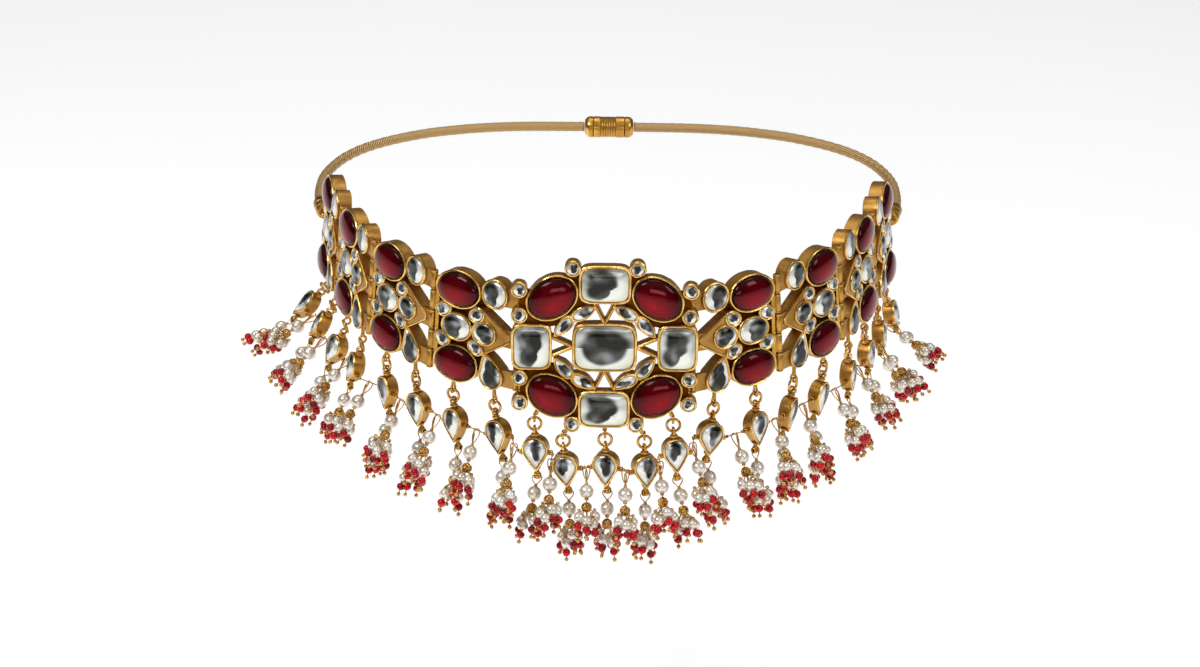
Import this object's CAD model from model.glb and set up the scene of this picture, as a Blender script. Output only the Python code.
"""Looks of a choker of box-set stones: a centre plate, four hinged plates to each side, pear drops on
rings, clusters of pearls with red beads, and a cord round the nape. Sizes are in millimetres until a
piece's mesh is made, which is in metres, in the frame's own axes."""

import math
import random

import bmesh
import bpy
from mathutils import Matrix, Vector, noise


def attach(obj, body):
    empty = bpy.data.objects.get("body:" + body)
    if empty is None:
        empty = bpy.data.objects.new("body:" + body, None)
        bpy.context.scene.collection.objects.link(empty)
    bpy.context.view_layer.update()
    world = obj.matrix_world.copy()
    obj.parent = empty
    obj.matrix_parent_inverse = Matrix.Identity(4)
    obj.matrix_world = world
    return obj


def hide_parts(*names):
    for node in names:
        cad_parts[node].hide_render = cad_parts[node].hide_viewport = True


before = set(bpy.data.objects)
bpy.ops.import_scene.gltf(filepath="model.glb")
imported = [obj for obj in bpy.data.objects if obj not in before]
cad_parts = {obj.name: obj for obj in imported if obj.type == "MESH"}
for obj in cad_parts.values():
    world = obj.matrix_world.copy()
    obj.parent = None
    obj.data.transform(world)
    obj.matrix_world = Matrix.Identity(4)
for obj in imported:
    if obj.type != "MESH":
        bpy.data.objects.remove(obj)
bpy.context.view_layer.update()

# Run of plates
MM = 0.001
TURNS = (30, 18, 17, 10)
LEAN = 6
PLATE_W = 21.2
HINGE_X = 18
FRONT_Y = 52

# Hinges
KNUCKLE_R = 0.75
PIN_R = 0.36
KNUCKLE_L = 4.2
HINGE_GAP = 0.2

# Boxes
WALL = 0.45
BOX_DEPTH = 3.4
BOX_FRONT = 1.0
CENTRE_DEPTH = 2.9
WEB_T = 1.6

# Stones of the side plates
RUBY_L, RUBY_W, RUBY_DOME = 10.2, 7.4, 1.5
ROUND_D = 5.6
MIDDLE_L, MIDDLE_W = 6.8, 5.4
ARROW_L, ARROW_W = 5.2, 4.4
PEAR_W, PEAR_TIP = 5.0, 4.6
SMALL_L, SMALL_W = 3.2, 2.5

# Stones of the centre plate
MAIN_L, MAIN_H = 12.4, 9.6
TOP_L, TOP_H = 9.8, 7.2
SIDE_L, SIDE_H = 7.4, 9.0
OVAL_L, OVAL_W, OVAL_TILT = 10.6, 8.0, 35
LATTICE_GAP = 4.2
BEAD_D = 2.5
LEAF_L, LEAF_W = 4.6, 2.5
BAR_W = 0.8

# Drops
RING_R, RING_WIRE = 1.38, 0.3
LOOP_R, LOOP_WIRE = 0.78, 0.28
STEM_L = 1.5
DROP_R, DROP_TIP, DROP_DEPTH = 2.35, 4.2, 2.8
DROP_WALL = 0.42
NECK_L = 0.9
NUB_R, NUB_L = 0.6, 1.2
FOOT_R, FOOT_L, FOOT_DROP = 0.72, 1.5, 1.3

# Clusters
HEAD_R, PEARL_R, RED_R, BALL_R = 1.55, 1.15, 0.92, 0.48
WIRE_RING, WIRE_R = 1.2, 0.16
COIL_R, COIL_GAP = 1.15, 0.6
SHORT_WIRE, SHORT_LEAN, SHORT_SHIFT, SHORT_TURN = 1.1, 0.3, 0.04, 60
STEEP_DROP, STEEP_FRONT = 2, 1.1

# Neck cord
CORD_D = 2.4
CLASP_L, CLASP_R = 12, 2.6
END_RING_R, END_RING_WIRE = 1.3, 0.45

# Points round a ring's wire
RING_SIDES = 10

SIDES = (("left", -1), ("right", 1))
PLATES = (1, 2, 3, 4)
QUARTERS = (("1", -1, 1), ("2", 1, 1), ("3", -1, -1), ("4", 1, -1))
CLUSTERS = (("left", 0, 6), ("front", 7, 13), ("right", 14, 20))

# Places in a side plate: u runs away from the centre plate and v up, from the inner hinge line
EDGE_U = PLATE_W - KNUCKLE_R - 2 * HINGE_GAP
RUBY_U = EDGE_U - WALL - RUBY_L / 2
RUBY_V = MIDDLE_W / 2 + RUBY_W / 2 + 2 * WALL + 0.9
ROUND_U = RUBY_U - RUBY_L / 2 - 2 * WALL - 0.1 - ROUND_D / 2
ROUND_V = RUBY_V + 0.9
MIDDLE_U = RUBY_U + 0.1
ARROW_U = MIDDLE_U - MIDDLE_L / 2 - 2 * WALL - ARROW_L / 2 + 0.1
ARROW_TIP_U = KNUCKLE_R + 3 * HINGE_GAP
PEAR_U = ROUND_U + 0.1
PEAR_V = -RUBY_V - 0.8
SMALL_V = 0.4 * RUBY_V
SMALL_OUT_U = EDGE_U - WALL - SMALL_L / 2
SMALL_IN_U = RUBY_U - 0.47 * RUBY_L
BOX_BACK = BOX_FRONT - BOX_DEPTH
HINGE_HALF = 2.5 * KNUCKLE_L + 2 * HINGE_GAP
LUG_L = ROUND_U - ROUND_D / 2 - WALL + 1


def oval_half(tilt):
    return math.hypot(OVAL_L / 2 * math.cos(math.radians(tilt)), OVAL_W / 2 * math.sin(math.radians(tilt)))


# Places in the centre plate
CENTRE_BACK = KNUCKLE_R + 0.1
CENTRE_FRONT = CENTRE_BACK + CENTRE_DEPTH
TOP_V = MAIN_H / 2 + 2 * WALL + LATTICE_GAP + TOP_H / 2
SIDE_U = MAIN_L / 2 + 2 * WALL + LATTICE_GAP + SIDE_L / 2
OVAL_U = TOP_L / 2 + 2 * WALL + 0.1 + oval_half(OVAL_TILT)
OVAL_V = SIDE_H / 2 + 2 * WALL + 0.7 + oval_half(90 - OVAL_TILT)
EDGE_PLACES = (
    (TOP_L / 2 + 1.7, TOP_V + TOP_H / 2 - 0.2),
    (SIDE_U + SIDE_L / 2 - 1.2, OVAL_V + 1.7),
    (SIDE_U + SIDE_L / 2 - 1.2, SIDE_H / 2 + 2.3),
)
LEAF_PLACES = ((0.35 * MAIN_L, MAIN_H / 2 + 2.7, 153), (MAIN_L / 2 + 2.3, 0.47 * MAIN_H, -48))

# Loops that carry the drops
SIDE_LOOP_V = -RUBY_V - RUBY_W / 2 - WALL - STEM_L - LOOP_R
SIDE_LOOP_U = {"red": RUBY_U + 1.2, "pear": PEAR_U - 0.4}
TOP_LOOP = (0.3, -TOP_V - TOP_H / 2 - WALL - STEM_L - LOOP_R + 0.5)
EDGE_LOOP = (EDGE_PLACES[0][0] + 1.9, TOP_LOOP[1] - 0.4)
OVAL_LOOP = (OVAL_U + 3.6, -OVAL_V - 0.5 * OVAL_W - WALL - STEM_L - LOOP_R + 1.4)
LOOP_OFF = BOX_BACK + BOX_DEPTH / 2
CENTRE_LOOP_OFF = CENTRE_BACK + CENTRE_DEPTH / 2

# How each drop hangs, from the picture's left end to its right end: side, plate, kind of loop,
# outwards, along the plate, turned, cluster outwards, cluster along the plate, in degrees
DROPS = (
    (-1, 4, "red", 34, 16, 0, 9, 6), (-1, 4, "pear", 20, 20, 8, 9, -8),
    (-1, 3, "red", 12, 13, -10, 10, -5), (-1, 3, "pear", 4, 16, 6, 10, -6),
    (-1, 2, "red", -4, -6, 10, 18, 6), (-1, 2, "pear", -6, -9, -8, 20, 4),
    (-1, 1, "red", -1, -9, 12, 18, 5), (-1, 1, "pear", -2, -13, 6, 16, 4),
    (-1, 0, "oval", -1, -3, 10, 8, 12), (-1, 0, "edge", -5, -6, 8, 15, 3),
    (1, 0, "top", -3, 3, -16, 12, -3),
    (1, 0, "edge", -3, 2, 18, 15, -2), (1, 0, "oval", 0, 5, 10, 11, 7),
    (1, 1, "pear", -5, -8, -14, 20, 9), (1, 1, "red", 0, -2, 14, 14, -1),
    (1, 2, "pear", -6, -16, 20, 20, 3), (1, 2, "red", -6, -14, 12, 22, 4),
    (1, 3, "pear", -6, 8, 8, 20, -10), (1, 3, "red", -5, 18, 4, 24, -12),
    (1, 4, "pear", -2, 18, 6, 28, -6), (1, 4, "red", 6, 26, 0, 32, -2),
)

# Places in a drop and in a cluster, from the top down
DROP_Z = -LOOP_R - NECK_L - DROP_WALL - DROP_R + 0.3
DROP_WALL_TIP = DROP_WALL * DROP_TIP / DROP_R
FOOT_Z = DROP_Z - DROP_TIP - DROP_WALL_TIP - FOOT_DROP
NUB_END = DROP_R + DROP_WALL + 0.75
NUB_Z = DROP_Z - 1.0
HEAD_Z = -2 * WIRE_RING - HEAD_R
COIL_Z = HEAD_Z - HEAD_R - COIL_R - COIL_GAP

# Route of the right half of the neck cord; the left half mirrors it
CORD = (
    (66.2, 18.6, 0), (67.2, 22.4, 0), (68.0, 26.8, 0), (68.3, 32.0, 0.2), (68.0, 37.5, 0.6),
    (66.6, 42.8, 1.0), (64.0, 47.8, 1.6), (60.2, 52.0, 2.2), (55.4, 55.2, 2.8),
    (50.0, 57.4, 3.4), (44.0, 59.0, 4.0), (38.0, 60.1, 4.4), (32.0, 60.9, 4.7),
    (26.0, 61.4, 4.9), (20.0, 61.7, 5.0), (14.0, 61.9, 5.0), (6.1, 62.0, 5.0),
)


# Frames of the plates, hinges, drops and clusters
def move(x, y, z):
    return Matrix.Translation((x, y, z))


def turn(axis, degrees):
    return Matrix.Rotation(math.radians(degrees), 4, axis)


def flip(side):
    return Matrix.Diagonal((side, 1, 1, 1))


def heading(k):
    return sum(TURNS[:k])


def hinge_at(k):
    """Place of the hinge line outside plate k, on the right."""
    x, y = HINGE_X, -FRONT_Y
    for plate in range(1, k + 1):
        x += PLATE_W * math.cos(math.radians(heading(plate)))
        y += PLATE_W * math.sin(math.radians(heading(plate)))
    return x, y


def plate_frame(side, k):
    """x runs away from the centre, y up and z out of the stones."""
    if k == 0:
        return move(0, -FRONT_Y, 0) @ turn("X", 90 - LEAN)
    x, y = hinge_at(k - 1)
    return move(side * x, y, 0) @ turn("Z", side * heading(k)) @ turn("X", -LEAN) @ flip(side) @ turn("X", 90)


def hinge_frame(side, k):
    """z runs along the pin of the hinge outside plate k."""
    x, y = hinge_at(k)
    half = TURNS[k] / 2
    lean = math.degrees(math.atan(math.tan(math.radians(LEAN)) / math.cos(math.radians(half))))
    return move(side * x, y, 0) @ turn("Z", side * (heading(k) + half)) @ turn("X", -lean) @ flip(side)


def loop_place(drop):
    side, k, kind = drop[:3]
    if k:
        return SIDE_LOOP_U[kind], SIDE_LOOP_V, LOOP_OFF
    u, v = {"top": TOP_LOOP, "edge": EDGE_LOOP, "oval": OVAL_LOOP}[kind]
    return (u if kind == "top" else side * u), v, CENTRE_LOOP_OFF


def along_sign(drop):
    return drop[0] if drop[1] == 0 else 1


def ring_frame(drop):
    return (plate_frame(drop[0], drop[1]) @ move(*loop_place(drop)) @ turn("X", -90 - drop[3])
            @ turn("Y", -along_sign(drop) * drop[4] / 2))


def hang_frame(drop):
    return ring_frame(drop) @ move(0, 0, -2 * RING_R) @ turn("Y", -along_sign(drop) * drop[4] / 2)


def drop_frame(drop):
    return hang_frame(drop) @ turn("Z", along_sign(drop) * drop[5])


def foot_frame(drop):
    """The tube across a drop's point."""
    return drop_frame(drop) @ move(0, 0, FOOT_Z)


def long_frame(drop):
    return (hang_frame(drop) @ move(0, 0, FOOT_Z) @ turn("X", -drop[6])
            @ turn("Y", -along_sign(drop) * drop[7]))


def nub_at(drop, way, inwards=0.0):
    """End of the little tube on the picture's right (way 1) or left (way -1) of a drop."""
    sign = way if drop[1] == 0 else way * drop[0]
    return drop_frame(drop) @ Vector((sign * (NUB_END - inwards), 0, NUB_Z))


def short_frame(a, b):
    """A short cluster hangs between its neighbours' directions, a little in front of them and nearer
    to the higher drop; a steep wire passes in front of the drops."""
    ends = nub_at(a, 1), nub_at(b, -1)
    fall = ends[0].z - ends[1].z
    up = long_frame(a).to_3x3().col[2] + long_frame(b).to_3x3().col[2]
    out = plate_frame(*a[:2]).to_3x3().col[2] + plate_frame(*b[:2]).to_3x3().col[2]
    z = (up - SHORT_LEAN * out).normalized()
    x = (-out).cross(z).normalized()
    m = Matrix((x, z.cross(x), z)).transposed().to_4x4()
    m.translation = ends[0].lerp(ends[1], 0.5 - SHORT_SHIFT * fall)
    if abs(fall) > STEEP_DROP:
        m.translation += STEEP_FRONT * out.normalized()
    return m


# Outlines of the boxes and their stones, round the origin
def rectangle(left, low, right, high):
    return [(left, low), (right, low), (right, high), (left, high)]


def oval(a, b, n):
    return [(a * math.cos(2 * math.pi * i / n), b * math.sin(2 * math.pi * i / n)) for i in range(n)]


def cushion(a, b, n):
    """A rectangle with full corners, as old flat-cut stones have."""
    out = []
    for i in range(n):
        c, s = math.cos(2 * math.pi * i / n), math.sin(2 * math.pi * i / n)
        out.append((a * math.copysign(abs(c) ** 0.42, c), b * math.copysign(abs(s) ** 0.42, s)))
    return out


def pear(r, tip, n):
    """A round end at the origin and a point below it."""
    half = math.acos(r / tip)
    straight = n // 6
    arc = n - 2 * straight
    side = Vector((r * math.cos(-math.pi / 2 + half), r * math.sin(-math.pi / 2 + half)))
    out = []
    for i in range(straight):
        p = Vector((0, -tip)).lerp(side, i / straight)
        out.append((p.x * (1 + 0.25 * (1 - i / straight)), p.y))
    for i in range(arc):
        a = -math.pi / 2 + half + i * (2 * math.pi - 2 * half) / (arc - 1)
        out.append((r * math.cos(a), r * math.sin(a)))
    for i in range(straight, 0, -1):
        p = Vector((0, -tip)).lerp(side, (i - 0.5) / straight)
        out.append((-p.x * (1 + 0.25 * (1 - i / straight)), p.y))
    return out


def leaf(a, w, n):
    """Pointed towards +x and round at the other end."""
    out = []
    for i in range(n):
        t = 2 * math.pi * i / n
        out.append((a * math.cos(t), w * math.sin(t) * abs(math.sin(t / 2)) ** 0.6))
    return out


class Box:
    """A box and its stone: kind of outline, half length, half width or tip distance, place and turn."""

    def __init__(self, kind, a, b, u, v, degrees=0):
        self.kind, self.a, self.b, self.u, self.v, self.degrees = kind, a, b, u, v, degrees
        self.key = 7.3 * u + 3.1 * v

    def outline(self, grow, n):
        if self.kind == "cushion":
            return cushion(self.a + grow, self.b + grow, n)
        if self.kind == "pear":
            return pear(self.a + grow, self.b + grow * self.b / self.a, n)
        if self.kind == "leaf":
            return leaf(self.a + 1.4 * grow, self.b + grow, n)
        return oval(self.a + grow, self.b + grow, n)

    def place(self, off):
        return move(self.u, self.v, off) @ turn("Z", self.degrees)


SIDE_BOXES = (
    Box("oval", RUBY_L / 2, RUBY_W / 2, RUBY_U, RUBY_V),
    Box("oval", RUBY_L / 2, RUBY_W / 2, RUBY_U, -RUBY_V),
    Box("round", ROUND_D / 2, ROUND_D / 2, ROUND_U, ROUND_V),
    Box("round", MIDDLE_L / 2, MIDDLE_W / 2, MIDDLE_U, 0),
    Box("round", ARROW_L / 2, ARROW_W / 2, ARROW_U, 0),
    Box("pear", PEAR_W / 2, PEAR_TIP, PEAR_U, PEAR_V, 160),
    Box("small", SMALL_L / 2, SMALL_W / 2, SMALL_OUT_U, SMALL_V, -20),
    Box("small", SMALL_L / 2, SMALL_W / 2, SMALL_OUT_U, -SMALL_V, 20),
    Box("small", SMALL_L / 2, SMALL_W / 2, SMALL_IN_U, SMALL_V + 0.3, -30),
    Box("small", SMALL_L / 2, SMALL_W / 2, SMALL_IN_U, -SMALL_V - 0.3, 30),
)
CENTRE_BOXES = (
    ("main", Box("cushion", MAIN_L / 2, MAIN_H / 2, 0, 0)),
    ("top", Box("cushion", TOP_L / 2, TOP_H / 2, 0, TOP_V)),
    ("bottom", Box("cushion", TOP_L / 2, TOP_H / 2, 0, -TOP_V)),
    ("left", Box("cushion", SIDE_L / 2, SIDE_H / 2, -SIDE_U, 0)),
    ("right", Box("cushion", SIDE_L / 2, SIDE_H / 2, SIDE_U, 0)),
)
CENTRE_OVALS = [Box("oval", OVAL_L / 2, OVAL_W / 2, u * OVAL_U, v * OVAL_V, -u * v * OVAL_TILT)
                for _, u, v in QUARTERS]
EDGE_BOXES = [Box("small", BEAD_D / 2, BEAD_D / 2, u * p[0], v * p[1])
              for _, u, v in QUARTERS for p in EDGE_PLACES]
LEAF_BOXES = [Box("leaf", LEAF_L / 2, LEAF_W / 2, u * p[0], v * p[1], u * v * p[2] + (180 if u < 0 else 0))
              for _, u, v in QUARTERS for p in LEAF_PLACES]


def linked(name, data):
    """A new object in the scene."""
    made = bpy.data.objects.new(name, data)
    bpy.context.scene.collection.objects.link(made)
    return made


def smoothed(mesh):
    """Turns the faces outwards and shades them smooth."""
    bm = bmesh.new()
    bm.from_mesh(mesh)
    bmesh.ops.recalc_face_normals(bm, faces=bm.faces)
    bm.to_mesh(mesh)
    bm.free()
    mesh.polygons.foreach_set("use_smooth", [True] * len(mesh.polygons))


class Shape:
    """Points and faces of one piece in millimetres, and the values that its materials read at each
    point: how polished the gold is, where the point lies on its stone, and the stone's own number."""

    def __init__(self):
        self.points, self.faces, self.slots = [], [], []
        self.polish, self.spot, self.number = [], [], []

    def add(self, place, points, polish=0.5, spot=(0, 0, 0), number=0.0):
        start = len(self.points)
        for i, p in enumerate(points):
            self.points.append(place @ Vector(p))
            self.polish.append(polish)
            self.spot.append(spot[i] if isinstance(spot, list) else spot)
            self.number.append(number)
        return start

    def skin(self, rings, n, slot=0, loop=False):
        """Joins rings of n points, each given by its first point, with faces, and closes the ends."""
        for a, b in zip(rings, rings[1:] + (rings[:1] if loop else [])):
            for i in range(n):
                j = (i + 1) % n
                self.faces.append((a + i, a + j, b + j, b + i))
                self.slots.append(slot)
        if not loop:
            self.faces.append(tuple(rings[0] + i for i in reversed(range(n))))
            self.faces.append(tuple(rings[-1] + i for i in range(n)))
            self.slots += [slot, slot]

    def stack(self, place, levels, outline, n, number, wobble):
        """A closed form of outlines, a little uneven: each level is (grow, height, polish)."""
        rings = []
        for grow, height, polish in levels:
            pts = []
            for x, y in outline(grow, n):
                share = wobble / max(math.hypot(x, y), 1)
                sway = noise.noise(Vector((x * 0.8 + number, y * 0.8, height)))
                swell = noise.noise(Vector((x * 0.8, y * 0.8 + number, height)))
                pts.append((x * (1 + share * sway), y * (1 + share * swell), 0))
            rings.append(self.add(place @ move(0, 0, height), pts, polish, number=number))
        self.skin(rings, n)

    def tube(self, place, route, radii, n, polish):
        """A round wire along a route of points, with a radius at each of them."""
        route = [Vector(p) for p in route]
        rings = []
        side = None
        for i, (p, r) in enumerate(zip(route, radii)):
            t = (route[min(i + 1, len(route) - 1)] - route[max(i - 1, 0)]).normalized()
            if side is None:
                side = t.orthogonal().normalized()
            side = (side - t * side.dot(t)).normalized()
            up = t.cross(side)
            rings.append(self.add(place, [p + x * side + y * up for x, y in oval(r, r, n)], polish))
        self.skin(rings, n)

    def ring(self, place, r, wire, n=30, polish=0.8):
        """A wire ring round z."""
        rings = []
        for x, y in oval(1, 1, n):
            section = [((r + across) * x, (r + across) * y, z) for across, z in oval(wire, wire, RING_SIDES)]
            rings.append(self.add(place, section, polish))
        self.skin(rings, RING_SIDES, loop=True)

    def turned(self, place, profile, n):
        """A form turned round z: the profile is (radius, height, polish)."""
        rings = [self.add(place, [(x, y, z) for x, y in oval(r, r, n)], polish) for r, z, polish in profile]
        self.skin(rings, n)

    def slab(self, place, outline, low, high, polish=0.3, edge=0.12):
        """A flat plate with softened edges."""
        n = len(outline)
        cx = sum(p[0] for p in outline) / n
        cy = sum(p[1] for p in outline) / n
        rings = []
        for inset, z, shine in ((edge, low, max(polish, 0.65)), (0, low + edge, polish),
                                (0, high - edge, 1.2 * polish), (edge, high, 1.6 * polish)):
            pts = []
            for x, y in outline:
                d = math.hypot(x - cx, y - cy)
                f = (d - inset) / d
                pts.append((cx + (x - cx) * f, cy + (y - cy) * f, z))
            rings.append(self.add(place, pts, shine))
        self.skin(rings, n)

    def finish(self, name, *materials, sharp=38):
        """The piece's object in metres, with its faces outwards."""
        mesh = bpy.data.meshes.new(name)
        mesh.from_pydata([p * MM for p in self.points], [], self.faces)
        for m in materials:
            mesh.materials.append(m)
        mesh.polygons.foreach_set("material_index", self.slots)
        mesh.attributes.new("polish", "FLOAT", "POINT").data.foreach_set("value", self.polish)
        spots = [c for s in self.spot for c in s]
        mesh.attributes.new("spot", "FLOAT_VECTOR", "POINT").data.foreach_set("vector", spots)
        mesh.attributes.new("number", "FLOAT", "POINT").data.foreach_set("value", self.number)
        smoothed(mesh)
        mesh.set_sharp_from_angle(angle=math.radians(sharp))
        return linked(name, mesh)


def settle(piece, slot, *nodes):
    """A finished piece rides on the part and stands for its nodes."""
    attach(piece, "root")
    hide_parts(*nodes)


# Materials
class Nodes:
    """Short ways to place and link a node tree's nodes."""

    def __init__(self, tree):
        self.tree = tree

    def feed(self, node, inputs):
        """Links a node's inputs, or sets them on its own sockets."""
        for key, value in inputs.items():
            if isinstance(value, bpy.types.NodeSocket):
                self.tree.links.new(value, node.inputs[key])
            else:
                node.inputs[key].default_value = value
        return node

    def node(self, kind, inputs=None, **settings):
        n = self.tree.nodes.new(kind)
        for key, value in settings.items():
            setattr(n, key, value)
        return self.feed(n, inputs or {})

    def noise(self, vector, scale, detail=2.0, roughness=0.5):
        return self.node("ShaderNodeTexNoise",
                         {"Vector": vector, "Scale": scale, "Detail": detail, "Roughness": roughness}).outputs

    def ramp(self, value, stops):
        """Colours or plain levels along a value: (where, colour or level)."""
        n = self.node("ShaderNodeValToRGB", {"Fac": value})
        elements = n.color_ramp.elements
        elements.remove(elements[1])
        elements[0].position = stops[0][0]
        for i, (where, colour) in enumerate(stops):
            stop = elements.new(where) if i else elements[0]
            stop.color = (*(colour if isinstance(colour, tuple) else (colour,) * 3), 1)
        return n.outputs["Color"]

    def mix(self, fac, a, b):
        colours = [c if isinstance(c, bpy.types.NodeSocket) else (*c, 1) for c in (a, b)]
        return self.node("ShaderNodeMix", {0: fac, 6: colours[0], 7: colours[1]}, data_type="RGBA").outputs[2]

    def math(self, operation, a, b=0.0, clamp=False):
        return self.node("ShaderNodeMath", {0: a, 1: b}, operation=operation, use_clamp=clamp).outputs[0]

    def plus(self, a, b, clamp=False):
        return self.math("ADD", a, b, clamp)

    def minus(self, a, b, clamp=False):
        return self.math("SUBTRACT", a, b, clamp)

    def times(self, a, b, clamp=False):
        return self.math("MULTIPLY", a, b, clamp)

    def vector(self, operation, inputs):
        n = self.node("ShaderNodeVectorMath", inputs, operation=operation)
        return n.outputs["Value" if operation == "LENGTH" else "Vector"]

    def xyz(self, x, y, z=0.0):
        return self.node("ShaderNodeCombineXYZ", {"X": x, "Y": y, "Z": z}).outputs[0]

    def parts(self, vector):
        return self.node("ShaderNodeSeparateXYZ", {"Vector": vector}).outputs

    def attribute(self, name, output="Fac"):
        return self.node("ShaderNodeAttribute", attribute_name=name).outputs[output]

    def object_place(self):
        return self.node("ShaderNodeTexCoord").outputs["Object"]

    def bump(self, height, strength, distance):
        return self.node("ShaderNodeBump",
                         {"Height": height, "Strength": strength, "Distance": distance}).outputs[0]


FLOAT, INT, VECTOR = "NodeSocketFloat", "NodeSocketInt", "NodeSocketVector"
GEOMETRY = ("Geometry", "NodeSocketGeometry")


def new_tree(kind, name, inputs, outputs):
    """A node tree with its input and output: inputs are (name, socket type, value)."""
    tree = bpy.data.node_groups.new(name, kind)
    for label, socket, value in inputs:
        made = tree.interface.new_socket(label, in_out="INPUT", socket_type=socket)
        if value is not None:
            made.default_value = value
    for label, socket in outputs:
        tree.interface.new_socket(label, in_out="OUTPUT", socket_type=socket)
    n = Nodes(tree)
    return tree, n, n.node("NodeGroupInput").outputs, n.node("NodeGroupOutput")


def hand_wear():
    """Fine scratches and soft dents of hand-worked metal, as a height and a mask."""
    tree, n, given, end = new_tree(
        "ShaderNodeTree", "hand_wear", [("Scale", FLOAT, 1.0), ("Dents", FLOAT, 0.5)],
        [("Height", FLOAT), ("Mask", FLOAT)])
    place = n.vector("SCALE", {0: n.object_place(), "Scale": given["Scale"]})
    scratches = n.noise(place, 4200, 3, 0.6)[0]
    dents = n.noise(place, 650, 2, 0.5)[0]
    patches = n.noise(place, 260, 3, 0.6)[0]
    n.feed(end, {"Height": n.plus(n.times(scratches, 0.35), n.times(dents, given["Dents"])),
                 "Mask": n.times(n.minus(patches, 0.35), 2.6, clamp=True)})
    return tree


# Foil folds round a stone, from its left edge by its foot and back: (how far round, brightness at the
# rim, where the dark middle ends, how softly it ends)
FOIL_FOLDS = (
    (0.0, 0.72, 0.3, 0.28), (0.08, 0.9, 0.26, 0.14), (0.16, 0.95, 0.24, 0.16), (0.22, 0.85, 0.42, 0.22),
    (0.3, 0.7, 0.62, 0.25), (0.4, 0.62, 0.6, 0.35), (0.5, 0.66, 0.28, 0.6), (0.58, 0.55, 0.36, 0.6),
    (0.64, 0.42, 0.66, 0.3), (0.75, 0.4, 0.5, 0.35), (0.86, 0.55, 0.4, 0.4), (0.93, 0.62, 0.34, 0.3),
    (1.0, 0.72, 0.3, 0.28),
)


def foil_light():
    """How the foil under a clear stone splits the light: dark in the middle, with folds that brighten
    towards the rim, sharply on one side and softly on the other."""
    tree, n, given, end = new_tree(
        "ShaderNodeTree", "foil_light",
        [("Spot", VECTOR, None), ("Number", FLOAT, 0.0), ("Warp", FLOAT, 0.6), ("Dark", FLOAT, 1.0)],
        [("Light", FLOAT), ("Rim", FLOAT)])
    spot, number = given["Spot"], given["Number"]
    shift = n.xyz(n.times(number, 3.7), n.times(number, 5.3))
    drift = n.noise(n.vector("ADD", {0: spot, 1: shift}), 1.1, 1.2, 0.4)
    level = n.vector("SUBTRACT", {0: drift["Color"], 1: (0.5, 0.5, 0.5)})
    warp = n.vector("SCALE", {0: level, "Scale": given["Warp"]})
    bent = n.parts(n.vector("ADD", {0: spot, 1: warp}))
    reach = n.math("SQRT", n.plus(n.times(bent["X"], bent["X"]), n.times(bent["Y"], bent["Y"])))
    # Each stone's folds are mirrored and turned a little by its own number
    way = n.math("SIGN", n.math("SINE", n.times(number, 9.0)))
    swing = n.times(n.math("SINE", n.times(number, 5.0)), 0.06)
    angle = n.math("ARCTAN2", bent["Y"], n.times(bent["X"], way))
    around = n.math("FRACT", n.plus(n.math("DIVIDE", angle, 2 * math.pi), n.plus(swing, 0.5)))
    fold_ramp = n.ramp(around, [(f[0], f[1:]) for f in FOIL_FOLDS])
    folds = n.node("ShaderNodeSeparateColor", {"Color": fold_ramp}).outputs
    past = n.math("DIVIDE", n.minus(reach, n.times(folds[1], given["Dark"])), folds[2], clamp=True)
    rise = n.node("ShaderNodeMapRange", {"Value": past}, interpolation_type="SMOOTHSTEP").outputs[0]
    haze = n.times(n.minus(drift[0], 0.43), 1.3)
    rim = n.times(n.minus(n.vector("LENGTH", {0: spot}), 0.74), 2.6, clamp=True)
    n.feed(end, {"Light": n.plus(n.times(rise, folds[0]), haze, clamp=True), "Rim": rim})
    return tree


WEAR = hand_wear()
FOIL = foil_light()


def material(name):
    m = bpy.data.materials.new(name)
    m.use_nodes = True
    m.node_tree.nodes.clear()
    n = Nodes(m.node_tree)
    shader = n.node("ShaderNodeBsdfPrincipled")
    n.node("ShaderNodeOutputMaterial", {"Surface": shader.outputs[0]})
    return m, n, shader


def box_gold():
    """Old gold: brown in the recesses, tan and matt on the walls, bright on the burnished lips."""
    m, n, shader = material("box_gold")
    wear = n.node("ShaderNodeGroup", {"Scale": 1.0, "Dents": 0.9}, node_tree=WEAR).outputs
    tone = n.plus(n.attribute("polish"), n.times(n.minus(wear["Mask"], 0.5), 0.32), clamp=True)
    n.feed(shader, {
        "Base Color": n.ramp(tone, (
            (0.0, (0.14, 0.04, 0.002)), (0.2, (0.3, 0.11, 0.006)), (0.42, (0.48, 0.26, 0.07)),
            (0.65, (0.53, 0.28, 0.05)), (0.85, (0.64, 0.34, 0.06)), (1.0, (0.92, 0.6, 0.2)))),
        "Roughness": n.ramp(tone, ((0.0, 0.55), (0.5, 0.44), (1.0, 0.2))),
        "Metallic": 1.0,
        "Normal": n.bump(wear["Height"], 0.6, 0.00014)})
    return m


def wire_gold():
    """Bright gold of wires, rings and end balls."""
    m, n, shader = material("wire_gold")
    wear = n.node("ShaderNodeGroup", {"Scale": 1.4, "Dents": 0.4}, node_tree=WEAR).outputs
    n.feed(shader, {
        "Base Color": n.mix(wear["Mask"], (0.44, 0.22, 0.04), (0.86, 0.54, 0.18)),
        "Roughness": n.ramp(wear["Mask"], ((0.0, 0.3), (1.0, 0.16))),
        "Metallic": 1.0,
        "Normal": n.bump(wear["Height"], 0.2, 0.00008)})
    return m


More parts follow.
